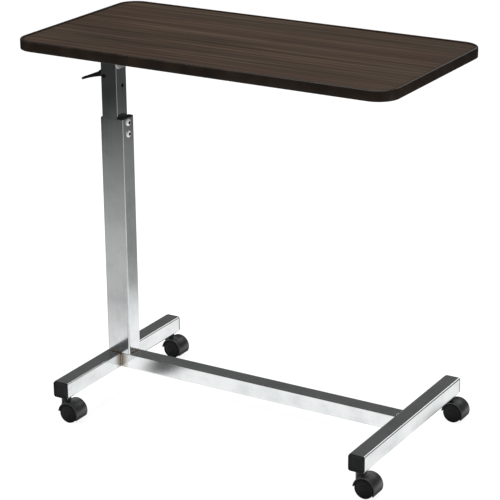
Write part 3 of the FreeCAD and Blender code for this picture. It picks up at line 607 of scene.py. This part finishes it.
def studio():
    """White floor, and a sweep that only reflections see: pale near the table, darker further out."""
    paper = Finish("floor_paper", Roughness=0.9, Specular_IOR_Level=0.1, Emission_Color=rgba(1, 1, 1),
                   Emission_Strength=0.90)
    paper.set(Base_Color=paper.ramp(paper.noise(3.0), (0.3, grey(0.24)), (0.7, grey(0.26))))
    floor = stage_plane("floor", 0.0, paper.material)
    floor.visible_glossy = False

    sweep = Finish("mirrored_sweep", "ShaderNodeEmission")
    x = sweep.axis("X")
    y = sweep.axis("Y")
    reach = 2.0
    left = (-CAD_HIGH.x - x).at_least(0.0)
    right = (x - CAD_HIGH.x).at_least(0.0) * 0.14
    in_front = (-CAD_HIGH.y - y).at_least(0.0)
    corner = right * in_front * 16.0
    front = sweep.ramp((left * left + right * right + in_front * in_front + corner) ** 0.5 / reach,
                       (0.0, grey(0.95)), (0.05, grey(0.71)), (0.15, grey(0.48)), (0.30, grey(0.48)),
                       (0.50, grey(0.30)), (0.68, grey(0.19)), (0.765, grey(0.145)), (0.85, grey(0.093)),
                       (0.93, grey(0.028)))
    back = sweep.ramp(y.at_least(0.0) / reach,
                      (0.0, grey(1.0)), (0.15, grey(0.97)), (0.197, grey(0.80)), (0.245, grey(0.39)),
                      (0.34, grey(0.275)), (0.52, grey(0.25)), (0.70, grey(0.225)), (0.80, grey(0.12)),
                      (0.90, grey(0.08)))
    lit = sweep.mix(1.0, front, back, "MULTIPLY")
    sweep.set(Color=sweep.mix(1.0, lit, contact_shade(sweep, x, y), "MULTIPLY"), Strength=1.12)
    mirrored = stage_plane("mirrored_sweep", -0.5 * MM, sweep.material)
    mirrored.visible_camera = False
    mirrored.visible_diffuse = False
    mirrored.visible_shadow = False

    world = bpy.data.worlds.new("studio")
    bpy.context.scene.world = world
    world.use_nodes = True
    tree = world.node_tree
    spot = tree.nodes.new("ShaderNodeTexCoord")
    split = tree.nodes.new("ShaderNodeSeparateXYZ")
    ramp = tree.nodes.new("ShaderNodeValToRGB")
    tree.links.new(spot.outputs["Generated"], split.inputs[0])
    tree.links.new(split.outputs["Z"], ramp.inputs["Fac"])
    tree.links.new(ramp.outputs["Color"], tree.nodes["Background"].inputs["Color"])
    ramp.color_ramp.elements[0].color = (0.10, 0.10, 0.10, 1.0)
    ramp.color_ramp.elements[1].color = (0.13, 0.13, 0.13, 1.0)


def soft_light(name, place, size, power):
    data = bpy.data.lights.new(name, "AREA")
    data.shape = "RECTANGLE"
    data.size, data.size_y = size
    data.energy = power
    lamp = bpy.data.objects.new(name, data)
    bpy.context.scene.collection.objects.link(lamp)
    lamp.location = place
    lamp.rotation_euler = (AIM - Vector(place)).to_track_quat("-Z", "Y").to_euler()
    return lamp


def lights():
    key = soft_light("key", (-1.6, -2.2, 3.2), (2.2, 2.2), 90.0)
    key.visible_glossy = False
    soft_light("overhead", (0.0, 0.2, 3.8), (3.0, 2.0), 90.0)
    soft_light("behind", (0.5, 3.3, 2.5), (2.4, 1.3), 12.0)
    side = soft_light("side", (3.0, -1.0, 1.0), (1.6, 1.2), 30.0)
    side.visible_glossy = False


# Tabletop

def edge_moulding(material):
    """Edging with a soft outer edge and a lip whose crest is at its inner side."""
    low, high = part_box("edge_moulding")
    laminate_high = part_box("laminate")[1]
    radius = 40.0 * MM
    width = high.x - laminate_high.x
    clear()
    bpy.ops.mesh.primitive_plane_add(size=1.0, location=(0, 0, low.z))
    ring = fresh("tabletop_edging")
    ring.data.transform(Matrix.Diagonal((high.x - low.x, high.y - low.y, 1, 1)))
    edit(ring)
    bpy.ops.mesh.bevel(offset=radius, segments=20, affect="VERTICES")
    bpy.ops.mesh.select_all(action="SELECT")
    bpy.ops.mesh.extrude_region_move(TRANSFORM_OT_translate={"value": (0, 0, high.z - low.z)})
    pick("FACE", lambda f: abs(f.normal.z) > 0.99)
    bpy.ops.mesh.inset(thickness=width, use_even_offset=True, use_individual=True)
    inner = laminate_high.x + 0.2 * MM
    pick("FACE", lambda f: abs(f.normal.z) > 0.99 and all(abs(v.co.x) < inner for v in f.verts)
         and len(f.verts) > 8)
    bpy.ops.mesh.delete(type="ONLY_FACE")
    pick("EDGE", lambda e: len(e.link_faces) == 1)
    bpy.ops.mesh.bridge_edge_loops()
    tidy_shell()

    def on_rim(edge, height, outer):
        level = all(abs(v.co.z - height) < 0.01 * MM for v in edge.verts)
        at_side = len([f for f in edge.link_faces if abs(f.normal.z) < 0.5]) == 1
        m = middle_of(edge)
        reach = max(abs(m.x) - (high.x - radius), 0), max(abs(m.y) - (high.y - radius), 0)
        return level and at_side and (math.hypot(*reach) > radius - width / 2) == outer

    outer_top = (high.z, True, 2.8 * MM)
    outer_bottom = (low.z, True, 1.6 * MM)
    crest = (high.z, False, 0.8 * MM)
    for height, outer, soft in (outer_top, outer_bottom, crest):
        pick("EDGE", lambda e: on_rim(e, height, outer))
        bpy.ops.mesh.bevel(offset=soft, segments=5, affect="EDGES")
    tidy_shell()
    done()
    smooth(ring, 40)
    return finished(ring, "edge_moulding", "mast", material)


# Base

def end_plug(node, side, material):
    """Plug with a rounded flange, a shallow dished face and its spigot in the tube."""
    low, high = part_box(node)
    flange = 2.8 * MM
    corner = 4.5 * MM
    wall = 1.9 * MM
    spigot = 5.0 * MM
    face_y = high.y if side > 0 else low.y
    back_y = face_y - side * flange
    plug = block(node + "_looks", (low.x, min(face_y, back_y), low.z),
                 (high.x, max(face_y, back_y), high.z))
    edit(plug)
    pick("EDGE", lambda e: runs_along(e, "Y"))
    bpy.ops.mesh.bevel(offset=corner, segments=8, affect="EDGES")
    pick("FACE", lambda f: facing(f, (0, side, 0)))
    for inwards, sunk in ((1.6, 0.0), (1.4, 0.45), (5.0, 0.15)):
        bpy.ops.mesh.inset(thickness=inwards * MM, depth=-sunk * MM, use_even_offset=True)
    pick("FACE", lambda f: facing(f, (0, -side, 0)))
    bpy.ops.mesh.inset(thickness=wall, use_even_offset=True)
    bpy.ops.mesh.extrude_region_move(TRANSFORM_OT_translate={"value": (0, -side * spigot, 0)})
    tidy_shell()
    done()
    rounded(plug, 0.5 * MM, 3, 40)
    smooth(plug, 50)
    return finished(plug, node, "base", material)


def weld_row(start, end, radius):
    """Overlapping drops from start to end, as a welder lays them."""
    drops = []
    pitch = 1.7 * MM
    start, end = Vector(start), Vector(end)
    count = max(4, round((end - start).length / pitch))
    for i in range(count):
        clear()
        swell = 1.0 + 0.12 * math.sin(2.3 * i) + 0.07 * math.sin(5.1 * i + 1.0)
        bpy.ops.mesh.primitive_uv_sphere_add(segments=16, ring_count=8, radius=radius * swell,
                                             location=start.lerp(end, (i + 0.5) / count))
        drops.append(fresh("drop"))
    return drops


def welds(material):
    """Beads where the spine meets the cross bars and where the column stands on them."""
    drops = []
    bar_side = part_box("column_end_bar")[1].x
    free_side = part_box("free_end_bar")[0].x
    spine_low, spine_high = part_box("spine")
    outer_low, outer_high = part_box("outer_column")
    foot = outer_low.z
    inset = 4.0 * MM
    half = 11.0 * MM
    for x in (bar_side, free_side):
        for y in (spine_low.y, spine_high.y):
            drops += weld_row((x, y, spine_low.z + inset), (x, y, spine_high.z - inset), 2.3 * MM)
    for y in (outer_low.y, outer_high.y):
        drops += weld_row((outer_low.x + inset, y, foot), (bar_side - inset, y, foot), 2.2 * MM)
    drops += weld_row((outer_high.x, -half, foot), (outer_high.x, half, foot), 2.3 * MM)
    bead = joined(drops, "weld_beads")
    remesh = bead.modifiers.new("melt together", "REMESH")
    remesh.mode = "VOXEL"
    remesh.voxel_size = 0.45 * MM
    even = bead.modifiers.new("settle", "SMOOTH")
    even.factor = 0.5
    even.iterations = 3
    apply_all(bead)
    smooth(bead, 80)
    return finished(bead, "base_welds", "base", material)


# Columns

def guide_screws(material):
    """Two domed screws with round sockets."""
    low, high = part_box("guide_screws")
    head_r = (high.y - low.y) / 2
    rise = 4.0 * MM
    face_x = high.x - rise
    shank = 2.5 * MM
    socket_r = 3.0 * MM
    socket_depth = 3.3 * MM
    arc = [math.radians(degrees) for degrees in range(10, 90, 8)]
    dome = [(head_r * math.cos(a), rise * math.sin(a)) for a in arc]
    outline = [(NEARLY_ZERO, low.x - face_x), (shank, low.x - face_x), (shank, 0.0), (head_r, 0.0),
               *dome, (NEARLY_ZERO, rise)]
    screws = []
    for z in (high.z - head_r, low.z + head_r):
        screw = turned("guide_screw", outline, (face_x, 0, z), "X", 48)
        socket = drum("socket", socket_r, (high.x - socket_depth, 0, z), 5.0 * MM, "X", 32)
        screws.append(combine(screw, socket, "DIFFERENCE"))
    pair = smooth(joined(screws, "guide_screws_looks"), 40)
    return finished(pair, "guide_screws", "base", material)


# Casters

def caster_neck(stem, axle, top, drum_r):
    """Round neck that spreads like a saddle where it meets the drum of the hood.

    It is drawn as rings a millimetre apart, which are then moved onto a quarter turn."""
    neck_r = 8.4 * MM
    into_drum = 0.3 * MM
    below_axle = 2.0 * MM
    reach = {"out": 6.0 * MM, "in": 15.0 * MM, "side": 15.0 * MM}
    rings = 9
    clear()
    bpy.ops.mesh.primitive_circle_add(vertices=48, radius=neck_r, location=(stem.x, stem.y, top))
    neck = fresh("neck")
    edit(neck)
    for _ in range(rings + 1):
        bpy.ops.mesh.extrude_region_move(TRANSFORM_OT_translate={"value": (0, 0, -1 * MM)})
    bpy.ops.mesh.edge_face_add()
    pick("VERT", lambda v: v.co.z > top - 0.1 * MM)
    bpy.ops.mesh.edge_face_add()
    done()
    for vertex in neck.data.vertices:
        ring = round((top - vertex.co.z) / MM)
        bend = math.radians(90) * min(ring, rings) / rings
        round_x = (vertex.co.x - stem.x) / neck_r
        round_y = (vertex.co.y - stem.y) / neck_r
        foot_x = stem.x + round_x * (reach["in"] if round_x > 0 else reach["out"])
        foot_y = stem.y + round_y * reach["side"]
        seat = axle.z + math.sqrt(max(drum_r ** 2 - (foot_x - axle.x) ** 2, 0.0)) - into_drum
        spread = 1 - math.cos(bend)
        vertex.co.x += (foot_x - vertex.co.x) * spread
        vertex.co.y += (foot_y - vertex.co.y) * spread
        vertex.co.z = axle.z - below_axle if ring > rings else top + (seat - top) * math.sin(bend)
    edit(neck)
    tidy_shell()
    done()
    return neck


def caster_hood(node, material):
    """Fender over both wheels, the web between them, and a neck that swells into the fender."""
    low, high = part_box(node)
    axle_low, axle_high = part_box(node.replace("hood", "axle"))
    stem_low, stem_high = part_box(node.replace("hood", "stem"))
    wheel_low, wheel_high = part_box(node.replace("hood", "wheel_front"))
    axle = (axle_low + axle_high) / 2
    stem = (stem_low + stem_high) / 2
    wheel_r = (wheel_high.z - wheel_low.z) / 2
    inner = wheel_r + 0.7 * MM
    outer = wheel_r + 3.0 * MM
    half = (high.y - low.y) / 2
    web = 4.0 * MM
    web_bottom = 6.5 * MM
    soft = 0.7 * MM
    round_edge = soft * 0.3
    fender_outline = [(inner, -half + soft), (inner, half - soft), (inner + soft * 0.5, half),
                      (outer - soft, half), (outer - round_edge, half - round_edge),
                      (outer, half - soft), (outer, -half + soft),
                      (outer - round_edge, -half + round_edge), (outer - soft, -half),
                      (inner + soft * 0.5, -half)]
    below_rear, below_stem = math.radians(30), math.radians(-4)
    fender = turned(node + "_looks", fender_outline, axle, "Y", 56, math.pi + below_rear + below_stem)
    turn = Matrix.Rotation(math.radians(90) + below_rear, 4, "Y")
    fender.data.transform(Matrix.Translation(axle) @ turn @ Matrix.Translation(-axle))
    edit(fender)
    tidy_shell()
    done()
    in_wall = inner + 0.9 * MM
    hollow = drum("hollow", in_wall, (axle.x, axle.y - 1.5 * half, axle.z), 3 * half, "Y", 96)
    hood = combine(fender, combine(caster_neck(stem, axle, high.z, outer), hollow, "DIFFERENCE"))
    plate = drum("web", inner + 0.6 * MM, (axle.x, axle.y - web, axle.z), 2 * web, "Y", 96)
    reach = 2 * outer
    under = block("under", (axle.x - reach, axle.y - half, axle.z - reach),
                  (axle.x + reach, axle.y + half, axle.z - web_bottom))
    hood = combine(hood, combine(plate, under, "DIFFERENCE"))
    smooth(hood, 38)
    return finished(hood, node, body_of(node), material)


def caster_wheel(node, side, material):
    """Wheel with a crowned tread, a stepped face and a small cap over the axle. Outline in mm."""
    low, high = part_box(node)
    centre = (low + high) / 2
    radius = (high.z - low.z) / 2
    inner_face = -(high.y - low.y) / 2 / MM
    drawn_radius = 19.05
    hub = [(2.6, inner_face), (6.0, inner_face), (6.0, 3.1), (15.4, 3.1), (15.4, inner_face)]
    tread = [(17.9, inner_face), (18.6, inner_face + 0.5), (18.95, inner_face + 1.6),
             (drawn_radius, 0.0), (18.95, 3.4), (18.6, 4.8), (17.9, 5.7)]
    rim = [(17.2, 6.0), (16.7, 5.9), (16.5, 5.2), (15.9, 5.0), (15.2, 5.3)]
    cap = [(8.0, 5.3), (7.6, 5.0), (6.6, 5.0), (6.2, 5.4), (3.0, 5.7), (0.01, 5.75), (0.01, 4.0),
           (2.6, 4.0)]
    scale = radius / (drawn_radius * MM)
    points = [(r * MM * scale, side * d * MM) for r, d in hub + tread + rim + cap]
    wheel = turned(node + "_looks", points, centre, "Y", 64)
    smooth(wheel, 32)
    return finished(wheel, node, body_of(node), material)


# Everything

def paint(names, material):
    for name in names:
        slots = NODES[name].data.materials
        slots.clear()
        slots.append(material)


camera()
bpy.context.scene.view_settings.view_transform = "Standard"
studio()
lights()

plastic = black_plastic("black_plastic", 0.006, 0.45)
black_oxide = blackened_steel()
zinc = plated_steel("zinc_steel", (0.50, 0.52, 0.54), (0.74, 0.75, 0.76), 0.20)
polished = plated_steel("polished_steel", (0.62, 0.63, 0.64), (0.78, 0.79, 0.80), 0.10)
bracket_plate = plated_steel("chromed_bracket", (0.60, 0.62, 0.62), (0.78, 0.79, 0.79), 0.38)

paint(["column_end_bar", "free_end_bar"], chromed_tube("chromed_cross_bar", "Y", heat=True))
paint(["spine"], chromed_tube("chromed_spine", "X", heat=True))
paint(["outer_column"], chromed_tube("chromed_outer_column", "Z"))
paint(["inner_column"], chromed_tube("chromed_inner_column", "Z", tone=0.95))
paint(["support_rail_front", "support_rail_back", "rail_screws", "foot_stud", "foot_nut",
       "release_lever", "stem_sockets"], zinc)
paint(["head_screw", "head_block"], black_oxide)
paint([n for n in NODES if n.endswith("_stem") or n.endswith("_axle")], zinc)
paint(["gas_spring_rod", "gas_spring_piston", "release_pin", "gas_spring_gland"], polished)
paint(["gas_spring_cylinder"], painted_cylinder())
paint(["guide_pad", "lower_glide"], plastic)
paint(["board"], particle_board())
paint(["laminate"], walnut_laminate())
paint(["backer_sheet"], backer_laminate())

edge_moulding(brown_moulding())
finished(softened("guide_block", 1.0 * MM, 3), "guide_block", "base", plastic)
lever_grip(plastic)
finished(softened("lever_pivot", 0.4 * MM, 3), "lever_pivot", "mast", black_oxide)
finished(softened("mast_bracket", 0.8 * MM, 3), "mast_bracket", "mast", bracket_plate)
guide_screws(guide_screw_zinc())
welds(weld_metal())
hood_plastic = black_plastic("caster_body", 0.016, 0.32, shine=0.75, grain=1100.0, depth=0.015)
wheel_plastic = black_plastic("caster_wheel", 0.005, 0.42)
for end in ("column", "free"):
    for place, side in (("front", -1), ("back", 1)):
        end_plug(f"end_plug_{end}_{place}", side, plastic)
        caster_hood(f"caster_{end}_{place}_hood", hood_plastic)
        caster_wheel(f"caster_{end}_{place}_wheel_front", -1, wheel_plastic)
        caster_wheel(f"caster_{end}_{place}_wheel_back", 1, wheel_plastic)
